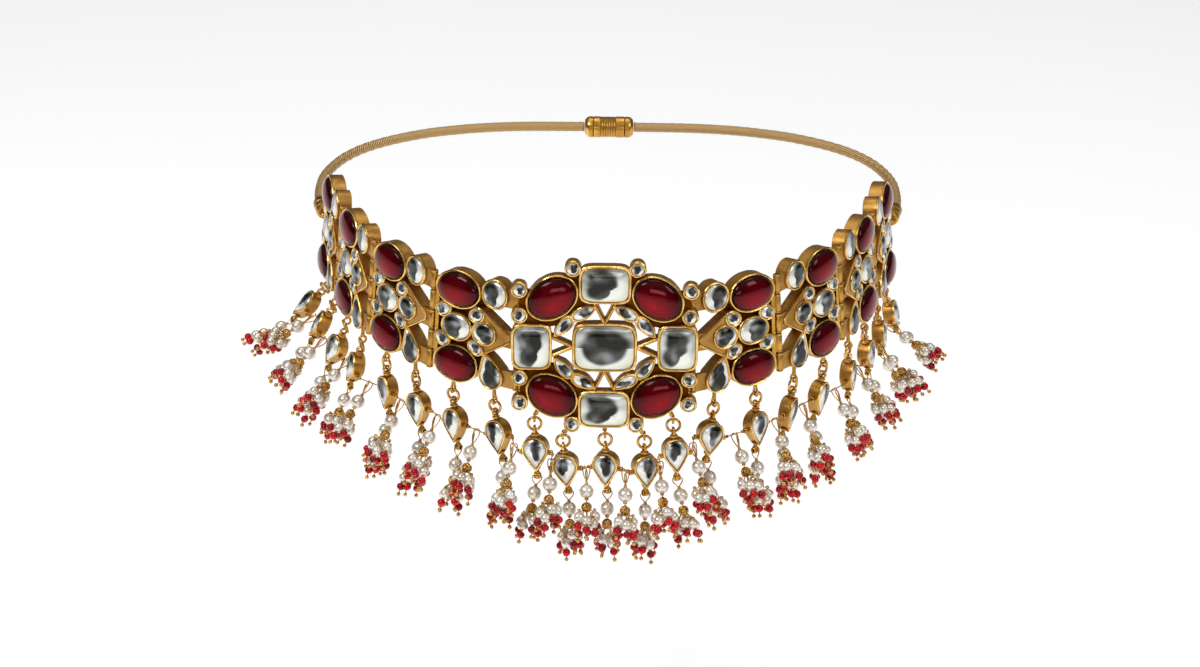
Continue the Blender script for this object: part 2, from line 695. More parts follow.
def red_glass():
    """Deep red cabochons: nearly black at the rim, glowing low down, with a few cloudy veils."""
    m, n, shader = material("red_glass")
    spot, number = n.attribute("spot", "Vector"), n.attribute("number")
    reach = n.vector("LENGTH", {0: spot})
    place = n.vector("ADD", {0: spot, 1: n.xyz(number, n.times(number, 2.1))})
    veil = n.noise(place, 2.4, 4, 0.65)[0]
    low = n.times(n.minus(0.25, n.parts(spot)["Y"]), 0.8, clamp=True)
    middle = n.minus(1.0, n.times(reach, reach), clamp=True)
    glow = n.times(n.plus(n.times(low, 0.8), n.times(veil, 0.55)), middle, clamp=True)
    n.feed(shader, {
        "Base Color": n.ramp(glow, ((0.0, (0.01, 0.0, 0.0008)), (0.16, (0.09, 0.0003, 0.003)),
                                    (0.5, (0.22, 0.0006, 0.006)), (0.9, (0.5, 0.003, 0.01)))),
        "Roughness": n.ramp(veil, ((0.3, 0.06), (0.8, 0.16))),
        "Metallic": 0.3,
        "IOR": 1.2,
        "Coat Weight": 0.18,
        "Coat Roughness": 0.03,
        "Normal": n.bump(n.noise(place, 1.6, 1)[0], 0.25, 0.0004)})
    return m


def clear_glass(name, warp, dark):
    """Clear flat-cut stones over foil: grey and white folds, with a warm green edge."""
    m, n, shader = material(name)
    foil = n.node("ShaderNodeGroup", {
        "Spot": n.attribute("spot", "Vector"), "Number": n.attribute("number"), "Warp": warp,
        "Dark": dark}, node_tree=FOIL).outputs
    light = foil["Light"]
    colour = n.ramp(light, (
        (0.0, (0.006, 0.006, 0.004)), (0.2, (0.07, 0.07, 0.06)), (0.38, (0.27, 0.28, 0.28)),
        (0.6, (0.62, 0.64, 0.63)), (0.85, (0.92, 0.92, 0.84))))
    edge = n.mix(light, (0.13, 0.12, 0.05), (0.6, 0.6, 0.4))
    n.feed(shader, {
        "Base Color": n.mix(n.times(foil["Rim"], 0.6), colour, edge),
        "Roughness": n.ramp(light, ((0.3, 0.14), (0.8, 0.28))),
        "Metallic": 0.45,
        "IOR": 1.3,
        "Coat Weight": 0.4,
        "Coat Roughness": 0.08,
        "Normal": n.bump(light, 0.25, 0.0005)})
    return m


def bead_skin(name, patch_scale, patch_detail, colours, roughness, bump, values):
    """Round beads with soft patches of colour; bump is (scale, strength, distance)."""
    m, n, shader = material(name)
    where = n.object_place()
    patches = n.noise(where, patch_scale, *patch_detail)[0]
    n.feed(shader, {
        "Base Color": n.ramp(patches, colours),
        "Roughness": n.ramp(patches, ((0.3, roughness[0]), (0.7, roughness[1]))),
        "Normal": n.bump(n.noise(where, bump[0], 2)[0], *bump[1:]),
        **values})
    return m


def cord_thread():
    """Metallic thread laid round the cord's strands."""
    m, n, shader = material("cord_thread")
    along = n.node("ShaderNodeUVMap", uv_map="along").outputs[0]
    wave = n.node("ShaderNodeTexWave", {"Vector": along, "Scale": 1.0, "Distortion": 1.2, "Detail": 2.0},
                  wave_type="BANDS", bands_direction="DIAGONAL")
    shade = n.plus(n.times(wave.outputs["Fac"], 0.7), n.times(n.noise(along, 9, 3)[0], 0.3))
    n.feed(shader, {
        "Base Color": n.ramp(shade, (
            (0.15, (0.2, 0.1, 0.03)), (0.55, (0.55, 0.34, 0.12)), (0.9, (0.85, 0.6, 0.28)))),
        "Roughness": n.ramp(shade, ((0.2, 0.65), (0.9, 0.36))),
        "Metallic": 0.6,
        "Normal": n.bump(shade, 0.6, 0.0002)})
    return m


GOLD = box_gold()
WIRE = wire_gold()
RUBY = red_glass()
CLEAR = clear_glass("clear_glass", 0.22, 1.3)
DROP_CLEAR = clear_glass("drop_clear_glass", 0.2, 0.7)
SMALL_CLEAR = clear_glass("small_clear_glass", 0.7, 1.0)
PEARL = bead_skin(
    "pearl_sheen", 360, (3, 0.55),
    ((0.3, (0.62, 0.52, 0.39)), (0.5, (0.84, 0.77, 0.66)), (0.72, (0.95, 0.92, 0.85))),
    (0.24, 0.34), (1500, 0.12, 0.00006),
    {"Metallic": 0.55, "IOR": 1.7, "Coat Weight": 0.9, "Coat Roughness": 0.06})
RED_BEAD = bead_skin(
    "red_bead_glass", 420, (2,),
    ((0.3, (0.16, 0.0, 0.001)), (0.5, (0.42, 0.001, 0.004)), (0.7, (0.72, 0.006, 0.008))),
    (0.1, 0.2), (2500, 0.1, 0.00005),
    {"Metallic": 0.35, "IOR": 1.3, "Coat Weight": 0.35, "Coat Roughness": 0.03})
THREAD = cord_thread()


# Boxes and stones
LIP = 0.16
RUBY_SHARP, CUT_SHARP = 60, 12
RUBY_ARCS = (14, 28, 42, 56, 68, 78, 86)
DOME = [(0.97, -0.6), (0.97, -0.1)] + [
    (0.97 * math.cos(math.radians(d)), -0.1 + RUBY_DOME * math.sin(math.radians(d))) for d in RUBY_ARCS]
CUT = [(0.97, -0.5), (0.97, -0.08), (0.955, 0.0), (0.86, 0.2), (0.84, 0.225), (0.585, 0.47), (0.56, 0.485),
       (0.5, 0.5)]
SMALL_CUT = [(0.97, -0.5), (0.97, -0.05), (0.93, 0.03), (0.56, 0.24), (0.5, 0.25)]


def add_box(shape, plate, box, back, front, n):
    """A box with soft back edges, a matt wall and a burnished lip that is pushed over its stone."""
    levels = [
        (WALL - 0.3, back, 0.7), (WALL - 0.02, back + 0.2, 0.45), (WALL - 0.02, front - 0.75, 0.5),
        (WALL, front - 0.4, 0.62), (WALL + 0.05, front - 0.2, 0.85), (WALL - 0.06, front - 0.02, 1.0),
        (WALL - 0.24, front + 0.04, 1.0), (WALL - 0.42, front - 0.04, 0.85), (-0.1, front - LIP, 0.3),
        (-0.14, front - 0.5, 0.0),
    ]
    shape.stack(plate @ box.place(0), levels, box.outline, n, box.key, 0.09)


def add_stone(shape, plate, box, front, levels, n, slot, number):
    """A stone of outlines: each level is (share of the outline, height above the rim)."""
    rings = []
    place = plate @ box.place(front)
    for share, height in levels:
        pts = [(x * share, y * share) for x, y in box.outline(0, n)]
        spots = [(x / box.a, y / box.b, 0) for x, y in pts]
        rings.append(shape.add(place, [(x, y, height) for x, y in pts], 1.0, spots, number % 10))
    shape.skin(rings, n, slot)


def set_stones(name, node, plate, front, stones, materials, kind="clear_stone", sharp=CUT_SHARP):
    """One piece of stones: each is (box, levels, points round it, place in the materials)."""
    shape = Shape()
    for box, levels, n, slot in stones:
        add_stone(shape, plate, box, front, levels, n, slot, box.key)
    settle(shape.finish(name, *materials, sharp=sharp), kind, node)


def set_ruby(name, node, plate, front, box, n):
    set_stones(name, node, plate, front, [(box, DOME, n, 0)], [RUBY], "red_stone", RUBY_SHARP)


def both_ends(end, length, middle=()):
    """A turned profile whose two ends are alike."""
    return end + list(middle) + [(r, length - z, polish) for r, z, polish in reversed(end)]


def add_plate_loop(shape, plate, loop, start, off):
    """A loop that carries a drop, and its stem from the plate, both at the same depth."""
    loop, start = Vector((*loop, off)), Vector((*start, off))
    shape.ring(plate @ move(*loop) @ turn("Y", 90), LOOP_R, LOOP_WIRE, polish=0.85)
    end = loop - (loop - start).normalized() * (LOOP_R - LOOP_WIRE / 2)
    route = [start.lerp(end, t) for t in (0, 0.5, 0.8, 0.92, 1)]
    shape.tube(plate, route, (0.42, 0.42, 0.42, 0.52, 0.4), 12, 0.75)


def add_knuckles(shape, hinge, k, way):
    """The knuckles of one plate at a hinge, rolled from the plate, and the lugs that carry them."""
    h, r = KNUCKLE_L, KNUCKLE_R
    profile = both_ends([(PIN_R + 0.05, 0.02, 0.1), (r - 0.14, 0, 0.6), (r, 0.12, 0.8), (r, 0.4, 0.7),
                         (r - 0.07, 0.5, 0.4), (r, 0.6, 0.7)], h)
    for i in ((-2, 0, 2) if way > 0 else (-1, 1)):
        place = hinge @ move(0, 0, i * (h + HINGE_GAP) - h / 2)
        shape.turned(place, profile, 20)
        if k == 0 and way < 0:
            shape.slab(place, rectangle(-r, -CENTRE_BACK - 0.3, r - 0.3, 0), 0.4, h - 0.4)
        else:
            left, right = (0, LUG_L) if way > 0 else (-r - 2 * HINGE_GAP - 0.5, 0)
            lug = place @ turn("Z", way * TURNS[k] / 2)
            shape.slab(lug, rectangle(left, -0.5, right, 0.5), 0.2, h - 0.2, 0.4)


def make_side_plate(name, side, k):
    plate = plate_frame(side, k)
    shape = Shape()
    for box in SIDE_BOXES:
        add_box(shape, plate, box, BOX_BACK, BOX_FRONT, 32 if box.kind == "small" else 48)
    edge = EDGE_U + 0.02
    web = BOX_BACK, BOX_BACK + WEB_T, 0.0
    shape.slab(plate, rectangle(SMALL_IN_U - 1.2, 1 - RUBY_V, edge, RUBY_V - 1), *web)
    arrow = [(ARROW_TIP_U, 0.5), (SMALL_IN_U - 1.6, SMALL_V + 1.5), (SMALL_IN_U + 1, SMALL_V + 0.4)]
    arrow += [(x, -y) for x, y in reversed(arrow)]
    shape.slab(plate, arrow, BOX_BACK, BOX_FRONT - 0.35, edge=0.2)
    rim = [(*arrow[i], BOX_FRONT - 0.25) for i in (2, 1, 0, 5, 4, 3)]
    shape.tube(plate, rim, [0.24] * len(rim), 8, 0.95)
    for u, v in ((ROUND_U, RUBY_V), (PEAR_U, -RUBY_V)):
        shape.slab(plate, rectangle(u, v - 1, RUBY_U, v + 1), *web)
    shape.slab(plate, rectangle(edge - 0.8, 1 - HINGE_HALF, edge, HINGE_HALF - 1), -0.6, 0.6, 0.5)
    for kind, start in (("red", (RUBY_U + 1, -RUBY_V - 2)), ("pear", (PEAR_U, PEAR_V - 1))):
        add_plate_loop(shape, plate, (SIDE_LOOP_U[kind], SIDE_LOOP_V), start, LOOP_OFF)
    if k == len(TURNS):
        shape.ring(plate @ move(edge + END_RING_R, 0, 0), END_RING_R, END_RING_WIRE)
    add_knuckles(shape, hinge_frame(side, k - 1), k - 1, 1)
    if k < len(TURNS):
        add_knuckles(shape, hinge_frame(side, k), k, -1)
    settle(shape.finish(f"setting_{name}_{k}", GOLD), "gold", f"plate_{name}_{k}")
    stones = [(box, SMALL_CUT, 16, 1) if box.kind == "small" else (box, CUT, 36, 0) for box in SIDE_BOXES[2:]]
    set_stones(f"clear_set_{name}_{k}", f"clear_stones_{name}_{k}", plate, BOX_FRONT, stones,
               [CLEAR, SMALL_CLEAR])
    for place, box in zip(("top", "foot"), SIDE_BOXES):
        end = f"{place}_{name}_{k}"
        set_ruby(f"ruby_{end}", f"red_stone_{end}", plate, BOX_FRONT, box, 48)


def add_lattice_bar(shape, plate, p, q):
    """A bar of the open lattice with a rounded top."""
    p, q = Vector(p), Vector(q)
    way = (q - p).normalized()
    side = Vector((-way.y, way.x)) * BAR_W / 2
    top = CENTRE_FRONT - 0.6
    shape.slab(plate, [(c.x, c.y) for c in (p - side, q - side, q + side, p + side)], CENTRE_BACK, top, 0.4)
    shape.tube(plate, [(*p, top), (*q, top)], [BAR_W / 2 - 0.04] * 2, 10, 0.9)


def make_centre():
    plate = plate_frame(1, 0)
    shape = Shape()
    for boxes, n in (([b for _, b in CENTRE_BOXES] + CENTRE_OVALS, 64), (EDGE_BOXES + LEAF_BOXES, 32)):
        for box in boxes:
            add_box(shape, plate, box, CENTRE_BACK, CENTRE_FRONT, n)
    leaf_in, leaf_out = LEAF_PLACES
    corner, outer, low = EDGE_PLACES
    web = [(leaf_in[0], leaf_in[1] + 0.2), (leaf_out[0] + 0.2, leaf_out[1]), (SIDE_U, SIDE_H / 2 - 1), low,
           outer, (OVAL_U, OVAL_V), corner, (TOP_L / 2 - 1, TOP_V)]
    for _, u, v in QUARTERS:
        shape.slab(plate, [(u * x, v * y) for x, y in web], CENTRE_BACK, CENTRE_BACK + WEB_T, 0.0)
    for v in (1, -1):
        for u in (1, -1):
            add_lattice_bar(shape, plate, (0, v * (MAIN_H / 2 + WALL - 0.2)),
                            (u * 0.24 * TOP_L, v * (TOP_V - TOP_H / 2)))
            add_lattice_bar(shape, plate, (v * (MAIN_L / 2 + WALL - 0.2), 0),
                            (v * (SIDE_U - SIDE_L / 2), u * 0.24 * SIDE_H))
    add_plate_loop(shape, plate, TOP_LOOP, (0, -TOP_V - 2), CENTRE_LOOP_OFF)
    for u in (1, -1):
        for loop, start in ((OVAL_LOOP, (OVAL_U + 2, -OVAL_V - 1)), (EDGE_LOOP, (corner[0], -corner[1]))):
            add_plate_loop(shape, plate, (u * loop[0], loop[1]), (u * start[0], start[1]), CENTRE_LOOP_OFF)
    for side in (1, -1):
        add_knuckles(shape, hinge_frame(side, 0), 0, -1)
    settle(shape.finish("setting_centre", GOLD), "gold", "centre_plate")
    for name, box in CENTRE_BOXES:
        set_stones(f"clear_{name}", f"centre_{name}_stone", plate, CENTRE_FRONT, [(box, CUT, 64, 0)], [CLEAR])
    for (name, _, _), box in zip(QUARTERS, CENTRE_OVALS):
        set_ruby(f"centre_ruby_{name}", f"centre_red_stone_{name}", plate, CENTRE_FRONT, box, 64)
    for name, boxes in (("leaf", LEAF_BOXES), ("edge", EDGE_BOXES)):
        set_stones(f"clear_{name}_set", f"centre_{name}_stones", plate, CENTRE_FRONT,
                   [(box, SMALL_CUT, 16, 0) for box in boxes], [SMALL_CLEAR])


# Drops
DROP_BOX = Box("pear", DROP_R, DROP_TIP, 0, 0)


def drop_levels(half):
    """The box of a drop from its back to its lip, as add_box has them."""
    w = DROP_WALL
    return [(w - 0.3, -half, 0.7), (w - 0.02, 0.25 - half, 0.45), (w - 0.08, 0, 0.45),
            (w - 0.02, half - 0.6, 0.6), (w + 0.05, half - 0.22, 0.85), (w - 0.08, half - 0.02, 1.0),
            (w - 0.26, half + 0.03, 1.0), (w - 0.42, half - 0.06, 0.8), (-0.12, half - 0.5, 0.0)]


def neck_profile(h):
    """The collar between a drop and its loop."""
    return [(0.62, 0, 0.3), (0.62, h * 0.35, 0.5), (0.86, h * 0.5, 0.85), (0.86, h * 0.68, 0.85),
            (0.6, h * 0.8, 0.4), (0.56, h, 0.7), (0.3, h + 0.12, 0.6)]


def foot_profile(r, h):
    """The tube across a drop's point, with a bead at each end."""
    end = [(0.4, 0.3, 0.0), (0.42, 0.04, 0.4), (r - 0.16, 0, 0.9), (r - 0.02, 0.12, 0.95),
           (r - 0.02, 0.3, 0.7), (r - 0.1, 0.38, 0.3), (r, 0.46, 0.8)]
    return both_ends(end, h, [(r + 0.02, h / 2, 0.9)])


def nub_profile(r, h):
    """The little tube at a drop's side, from the box outwards."""
    return [(0.3, 0, 0.2), (r - 0.1, 0.02, 0.3), (r - 0.06, h / 2, 0.6), (r - 0.1, h * 0.62, 0.35),
            (r, h * 0.74, 0.9), (r, h * 0.9, 0.95), (r - 0.12, h, 0.9), (0.34, h - 0.03, 0.4),
            (0.3, h - 0.4, 0.0)]


# The turned neck over the lower tube, from the tube up to the drop's point
FOOT_NECK = ((0.3, -0.2, 0.5), (0.66, 0, 0.7), (0.6, 0.25, 0.8), (0.42, 0.5, 0.4), (0.48, 0.8, 0.6),
             (0.8, 1.3, 0.5), (0.5, 1.5, 0.3))


def make_drops():
    settings, stones = Shape(), Shape()
    half = DROP_DEPTH / 2
    for i, drop in enumerate(DROPS):
        place = drop_frame(drop)
        foot = foot_frame(drop)
        front = place @ move(0, 0, DROP_Z) @ turn("X", 90)
        settings.stack(front, drop_levels(half), DROP_BOX.outline, 48, i * 1.7, 0.06)
        add_stone(stones, front, DROP_BOX, half - 0.05, CUT, 36, 0, i * 3.3)
        settings.turned(place @ move(0, 0, DROP_Z + DROP_R), neck_profile(NECK_L + DROP_WALL), 20)
        settings.ring(place @ turn("Y", 90), LOOP_R, LOOP_WIRE, 26, polish=0.9)
        settings.turned(foot @ move(-FOOT_L / 2, 0, 0) @ turn("Y", 90), foot_profile(FOOT_R, FOOT_L), 20)
        settings.turned(foot @ move(0, 0, 0.5), FOOT_NECK, 18)
        for way in (1, -1):
            nub = place @ move(way * (NUB_END - NUB_L), 0, NUB_Z) @ turn("Y", way * 90)
            settings.turned(nub, nub_profile(NUB_R, NUB_L), 18)
    settle(settings.finish("drop_boxes", GOLD), "gold", "drop_settings")
    settle(stones.finish("drop_clear_stones", DROP_CLEAR, sharp=CUT_SHARP), "clear_stone", "drop_stones")


# What repeats: rings, beads and wires
def geometry_tree(name, inputs):
    """A tree that grows something from a mesh's points or edges and gives it a material."""
    return new_tree("GeometryNodeTree", name,
                    [(*GEOMETRY, None), *inputs, ("Material", "NodeSocketMaterial", None)], [GEOMETRY])


def close_tree(n, given, end, geometry):
    """Smooth faces, real geometry and the material, as each tree ends."""
    smooth = n.node("GeometryNodeSetShadeSmooth", {"Geometry": geometry})
    real = n.node("GeometryNodeRealizeInstances", {"Geometry": smooth.outputs[0]})
    made = n.node("GeometryNodeSetMaterial", {"Geometry": real.outputs[0], "Material": given["Material"]})
    n.feed(end, {"Geometry": made.outputs[0]})


def facing_way(n):
    return n.node("GeometryNodeInputNamedAttribute", {"Name": "facing"}, data_type="FLOAT_VECTOR").outputs[0]


def bead_tree():
    """A bead at each point, a little uneven in size and form."""
    tree, n, given, end = geometry_tree("beads_on_points", [
        ("Radius", FLOAT, 0.001), ("Around", INT, 14), ("Uneven", FLOAT, 0.05), ("Length", FLOAT, 1.0),
        ("Seed", INT, 1)])
    bead = n.node("GeometryNodeMeshUVSphere", {
        "Segments": given["Around"], "Rings": n.times(given["Around"], 0.62), "Radius": given["Radius"]})
    less, more = n.minus(1.0, given["Uneven"]), n.plus(1.0, given["Uneven"])
    limits = {0: n.xyz(less, less, less), 1: n.xyz(more, more, more), "Seed": given["Seed"]}
    size = n.node("FunctionNodeRandomValue", limits, data_type="FLOAT_VECTOR")
    sized = n.vector("MULTIPLY", {0: size.outputs[0], 1: n.xyz(1.0, 1.0, given["Length"])})
    put = n.node("GeometryNodeInstanceOnPoints", {
        "Points": given["Geometry"], "Instance": bead.outputs[0], "Rotation": facing_way(n), "Scale": sized})
    close_tree(n, given, end, put.outputs[0])
    return tree


def ring_tree():
    """A wire ring at each point, facing the way the point says."""
    tree, n, given, end = geometry_tree("rings_on_points", [
        ("Ring Radius", FLOAT, 0.001), ("Wire Radius", FLOAT, 0.0003)])
    path = n.node("GeometryNodeCurvePrimitiveCircle", {"Resolution": 32, "Radius": given["Ring Radius"]})
    wire = n.node("GeometryNodeCurvePrimitiveCircle", {"Resolution": 10, "Radius": given["Wire Radius"]})
    ring = n.node("GeometryNodeCurveToMesh", {"Curve": path.outputs[0], "Profile Curve": wire.outputs[0]})
    put = n.node("GeometryNodeInstanceOnPoints", {
        "Points": given["Geometry"], "Instance": ring.outputs[0], "Rotation": facing_way(n)})
    close_tree(n, given, end, put.outputs[0])
    return tree


def wire_tree():
    """A round wire along each run of edges."""
    tree, n, given, end = geometry_tree("wires_on_edges", [("Wire Radius", FLOAT, 0.0002), ("Sides", INT, 6)])
    path = n.node("GeometryNodeMeshToCurve", {"Mesh": given["Geometry"]})
    wire = n.node("GeometryNodeCurvePrimitiveCircle", {
        "Resolution": given["Sides"], "Radius": given["Wire Radius"]})
    made = n.node("GeometryNodeCurveToMesh", {
        "Curve": path.outputs[0], "Profile Curve": wire.outputs[0], "Fill Caps": True})
    close_tree(n, given, end, made.outputs[0])
    return tree


BEADS, RINGS, WIRES = bead_tree(), ring_tree(), wire_tree()


def grown(name, tree, points, edges, facing, **values):
    """The plain mesh that a tree makes from points, in millimetres, with the way that each faces."""
    mesh = bpy.data.meshes.new(name)
    mesh.from_pydata([Vector(p) * MM for p in points], edges, [])
    if facing:
        turns = [c for f in facing for c in f]
        mesh.attributes.new("facing", "FLOAT_VECTOR", "POINT").data.foreach_set("vector", turns)
    source = linked(name, mesh)
    grow = source.modifiers.new("grow", "NODES")
    grow.node_group = tree
    for item in tree.interface.items_tree:
        if item.in_out == "INPUT" and item.name in values:
            grow[item.identifier] = values[item.name]
    made = bpy.data.meshes.new_from_object(source.evaluated_get(bpy.context.evaluated_depsgraph_get()))
    source.modifiers.remove(grow)
    bpy.data.objects.remove(source)
    made.name = name
    return linked(name, made)


def make_jump_rings():
    points, facing = [], []
    for drop in DROPS:
        m = ring_frame(drop) @ move(0, 0, -RING_R) @ turn("X", 90)
        points.append(m.translation)
        facing.append(m.to_euler())
    piece = grown("drop_rings", RINGS, points, [], facing, **{
        "Ring Radius": RING_R * MM, "Wire Radius": RING_WIRE * MM, "Material": WIRE})
    settle(piece, "gold", "jump_rings")


class Fringe:
    """Points and wires of one run of clusters."""

    def __init__(self):
        self.heads, self.pearls, self.reds, self.balls, self.cores = [], [], [], [], []
        self.wire_points, self.wire_edges = [], []

    def wire(self, place, route):
        start = len(self.wire_points)
        self.wire_points += [place @ Vector(p) for p in route]
        self.wire_edges += [(start + i, start + i + 1) for i in range(len(route) - 1)]

    def loop(self, place, r, steps=10):
        self.wire(place, [(r * math.cos(2 * math.pi * i / steps), r * math.sin(2 * math.pi * i / steps), 0)
                          for i in range(steps + 1)])

    def bead(self, beads, place, p):
        beads.append((place @ Vector(p), place.to_3x3().to_euler()))

    def eye(self, tops, place, low, bulge):
        """A wire eye from its top points down to the head pearl, bulging to both sides on its way."""
        foot = place @ Vector((0, 0, low))
        across = (tops[-1] - tops[0]).normalized()
        left, right = [[end.lerp(foot, t) + way * bulge * math.sin(math.pi * t ** 0.7) * across
                        for t in (0.12, 0.3, 0.5, 0.7, 0.87)] for way, end in ((-1, tops[0]), (1, tops[-1]))]
        self.wire(Matrix.Identity(4), [foot, *reversed(left), *tops, *right, foot])

    def cluster(self, place, seed, phase, strands, drop_by):
        """Head pearl, wound wire and strands below a wire eye; drop_by is the wire below the eye."""
        pick = random.Random(seed)
        m = place @ move(0, 0, -drop_by)
        self.bead(self.heads, m, (0, 0, HEAD_Z))
        neck = HEAD_Z + HEAD_R
        for k in range(3):
            tilt = turn("X", pick.uniform(-12, 12))
            self.loop(m @ move(0, 0, neck + 0.05 + 0.16 * k) @ tilt, 0.3 - 0.05 * k, 8)
        self.wire(m, [(0, 0, neck + 0.5), (0, 0, COIL_Z)])
        for k in range(2):
            self.loop(m @ move(0, 0, HEAD_Z - HEAD_R - 0.05 - 0.16 * k), 0.34, 8)
        self.coil(m @ move(0, 0, COIL_Z), pick)
        for j in range(strands):
            way = phase + 360 * j / strands + pick.uniform(-9, 9)
            reach = 2.2 + 0.75 * (j % 3) + pick.uniform(-0.25, 0.3)
            self.strand(m @ move(0, 0, COIL_Z) @ turn("Z", way), reach, pick)

    def coil(self, place, pick):
        """A ball wound from the strands' wires."""
        self.bead(self.cores, place, (0, 0, 0))
        for k in range(14):
            tilt = place @ turn("Z", 67 * k + pick.uniform(-15, 15)) @ turn("X", pick.uniform(25, 90))
            off = pick.uniform(-0.5, 0.5)
            self.loop(tilt @ move(0, 0, off), math.sqrt(1.02 - off * off) * pick.uniform(0.92, 1.08), 9)

    def strand(self, place, reach, pick):
        """A pearl, a red bead and an end ball on a bent wire."""
        out = 1.75 + pick.uniform(-0.25, 0.2)
        pearl = Vector((out, 0, -reach))
        red = pearl + Vector((0.4 + pick.uniform(-0.15, 0.2), pick.uniform(-0.25, 0.25), -1.95))
        ball = red + Vector((0.15, pick.uniform(-0.15, 0.15), -1.4 - pick.uniform(0, 0.4)))
        over = pearl + Vector((0, 0, PEARL_R + 0.3))
        self.wire(place, [(0.25, 0, -0.2), (0.75 * out, 0, -0.45 * reach), over, pearl])
        self.loop(place @ move(pearl.x, 0, pearl.z + PEARL_R + 0.25) @ turn("X", 90), 0.3, 8)
        self.bead(self.pearls, place, pearl)
        self.wire(place, [pearl, red, ball])
        between = (pearl + red) / 2 - Vector((0, 0, 0.1))
        self.loop(place @ move(*between) @ turn("X", 90) @ turn("Y", 30), 0.26, 7)
        self.bead(self.reds, place, red)
        self.bead(self.balls, place, ball)

    def make(self, name):
        """The pieces of this run; each kind of bead has its radius, its points round, how uneven and
        how long it is, and its material."""
        node = f"pearl_clusters_{name}"
        kinds = (
            ("head_pearls", self.heads, HEAD_R, 18, 0.04, 1.0, PEARL),
            ("pearls", self.pearls, PEARL_R, 12, 0.07, 1.0, PEARL),
            ("red_beads", self.reds, RED_R, 10, 0.06, 0.9, RED_BEAD),
            ("end_balls", self.balls, BALL_R, 8, 0.08, 1.0, WIRE),
            ("coil_cores", self.cores, COIL_R - 0.3, 10, 0.08, 1.0, WIRE),
        )
        for seed, (kind, beads, radius, around, uneven, length, mat) in enumerate(kinds, 11):
            points, facing = zip(*beads)
            settle(grown(f"{kind}_{name}", BEADS, points, [], facing, **{
                "Radius": radius * MM, "Around": around, "Uneven": uneven, "Length": length, "Seed": seed,
                "Material": mat}), "pearl", node)
        settle(grown(f"cluster_wires_{name}", WIRES, self.wire_points, self.wire_edges, [], **{
            "Wire Radius": WIRE_R * 0.8 * MM, "Sides": 6, "Material": WIRE}), "pearl", node)


def hang_long(run, i):
    """A long cluster: its eye goes through the tube across the drop's point."""
    foot, place = foot_frame(DROPS[i]), long_frame(DROPS[i])
    half = FOOT_L / 2
    run.eye([foot @ Vector((x, 0, 0)) for x in (-half, 0, half)], place, -2 * WIRE_RING + 0.3, 0.55)
    run.cluster(place, 100 + i, 37 * i, 6 + i % 2, 0)


def hang_short(run, i):
    """A short cluster: two eyes round the wire that runs from drop i to the next one."""
    a, b = DROPS[i], DROPS[i + 1]
    place = short_frame(a, b)
    middle = place.translation
    left, right = nub_at(a, 1), nub_at(b, -1)
    run.wire(Matrix.Identity(4), [nub_at(a, 1, 0.6), left, left.lerp(middle, 0.6), middle,
                                  right.lerp(middle, 0.6), right, nub_at(b, -1, 0.6)])
    for end in (left, right):
        way = middle - end
        for k in range(3):
            p = end + (0.08 + 0.24 * k) * way.normalized()
            run.loop(move(*p) @ way.to_track_quat("Z", "Y").to_matrix().to_4x4(), 0.25, 8)
    for way in (1, -1):
        top = place @ move(0.4 * way, 0, 0) @ turn("Z", way * 50)
        run.eye([top @ Vector((x, 0, z)) for x, z in ((-0.4, 0.1), (0, 0.26), (0.4, 0.1))], place,
                -2 * WIRE_RING + 0.3 - SHORT_WIRE, 0.4)
    run.cluster(place, 200 + i, 37 * i + SHORT_TURN, 6 + (i + 1) % 2, SHORT_WIRE)


def make_fringe():
    for name, first, last in CLUSTERS:
        run = Fringe()
        for i in range(first, last + 1):
            hang_long(run, i)
            if i + 1 < len(DROPS):
                hang_short(run, i)
        run.make(name)


# Neck cord
def smooth_route(points, steps):
    """More points between the route's own, on one smooth curve."""
    pts = [Vector(p) for p in points]
    out = []
    for i in range(len(pts) - 1):
        p0, p1, p2, p3 = pts[max(i - 1, 0)], pts[i], pts[i + 1], pts[min(i + 2, len(pts) - 1)]
        for s in range(steps):
            t = s / steps
            out.append(0.5 * (2 * p1 + (p2 - p0) * t + (2 * p0 - 5 * p1 + 4 * p2 - p3) * t * t
                              + (3 * p1 - 3 * p2 + p3 - p0) * t ** 3))
    return out + [pts[-1]]


CORD_SIDES, CORD_LAY = 24, 7.0


def make_cord(name, side):
    """Three strands laid together round the route."""
    route = [flip(side) @ p for p in smooth_route(CORD, 12)]
    points, faces, uvs = [], [], []
    length = 0.0
    for i, p in enumerate(route):
        if i:
            length += (p - route[i - 1]).length
        t = (route[min(i + 1, len(route) - 1)] - route[max(i - 1, 0)]).normalized()
        x = Vector((0, 0, 1)).cross(t).normalized()
        y = t.cross(x)
        for j in range(CORD_SIDES):
            a = 2 * math.pi * j / CORD_SIDES
            groove = abs(math.sin(1.5 * (a - 2 * math.pi * length / CORD_LAY)))
            r = CORD_D / 2 * (0.8 + 0.2 * groove ** 0.5)
            points.append((p + r * (math.cos(a) * x + math.sin(a) * y)) * MM)
            uvs.append((length / 1.1 + 1.2 * j / CORD_SIDES, 4.0 * j / CORD_SIDES))
    last = (len(route) - 1) * CORD_SIDES
    for start in range(0, last, CORD_SIDES):
        for j in range(CORD_SIDES):
            a, b = start + j, start + (j + 1) % CORD_SIDES
            faces.append((a, b, b + CORD_SIDES, a + CORD_SIDES))
    faces += [tuple(reversed(range(CORD_SIDES))), tuple(range(last, last + CORD_SIDES))]
    mesh = bpy.data.meshes.new(f"cord_{name}")
    mesh.from_pydata(points, [], faces)
    layer = mesh.uv_layers.new(name="along")
    for loop in mesh.loops:
        layer.data[loop.index].uv = uvs[loop.vertex_index]
    smoothed(mesh)
    mesh.materials.append(THREAD)
    cord = linked(f"cord_{name}", mesh)
    settle(cord, "cord", f"neck_cord_{name}")


